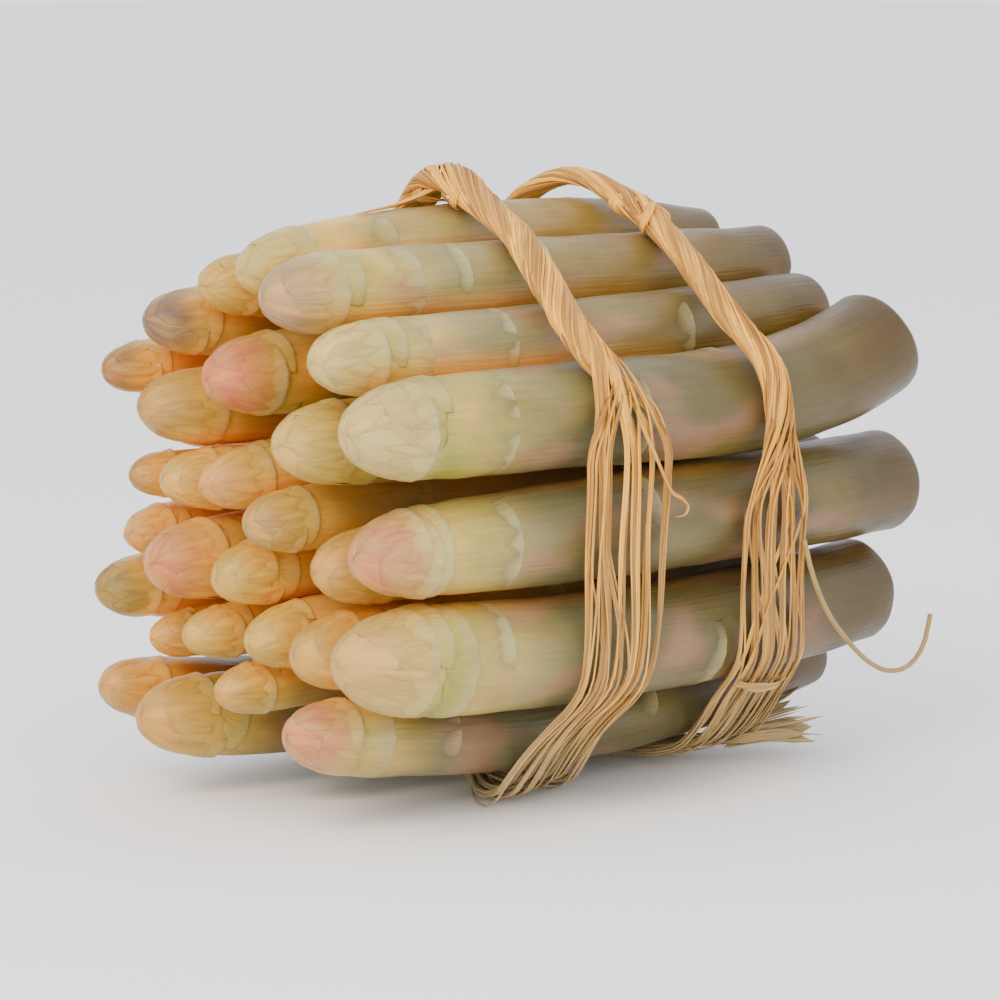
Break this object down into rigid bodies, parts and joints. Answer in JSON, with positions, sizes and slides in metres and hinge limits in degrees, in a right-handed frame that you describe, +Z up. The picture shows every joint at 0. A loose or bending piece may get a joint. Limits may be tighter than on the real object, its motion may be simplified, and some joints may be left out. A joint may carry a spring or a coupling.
{
  "type": "bundle of asparagus",
  "caption": "Lying bundle of thick blunt-tipped pale asparagus spears, held by two twisted raffia ties with a frayed tail and a loose curling strand.",
  "frame": {"origin": "on the floor under the middle of the bundle", "axes": "+Z up, +X along the spears toward the cut ends, tips toward -X, the side seen in the picture toward -Y"},
  "size_m": [0.1721, 0.1244, 0.1409],
  "materials": {
    "spear_skin": "cream skin, waxy and slightly moist, with pink and yellow-green zones",
    "dry_raffia": "dry matt straw-coloured leaf fibre"
  },
  "bodies": {
    "root": {"spear_01": "spear_skin", "spear_02": "spear_skin", "spear_03": "spear_skin", "spear_04": "spear_skin", "spear_05": "spear_skin", "spear_06": "spear_skin", "spear_07": "spear_skin", "spear_08": "spear_skin", "spear_09": "spear_skin", "spear_10": "spear_skin", "spear_11": "spear_skin", "spear_12": "spear_skin", "spear_13": "spear_skin", "spear_14": "spear_skin", "spear_15": "spear_skin", "spear_16": "spear_skin", "spear_17": "spear_skin", "spear_18": "spear_skin", "spear_19": "spear_skin", "spear_20": "spear_skin", "spear_21": "spear_skin", "spear_22": "spear_skin", "spear_23": "spear_skin", "spear_24": "spear_skin", "spear_25": "spear_skin", "spear_26": "spear_skin", "spear_27": "spear_skin", "spear_28": "spear_skin", "spear_29": "spear_skin", "spear_30": "spear_skin", "spear_31": "spear_skin", "spear_32": "spear_skin", "tie_front": "dry_raffia", "tie_rear": "dry_raffia", "tie_tail": "dry_raffia", "loose_strand": "dry_raffia"}
  },
  "joints": []
}
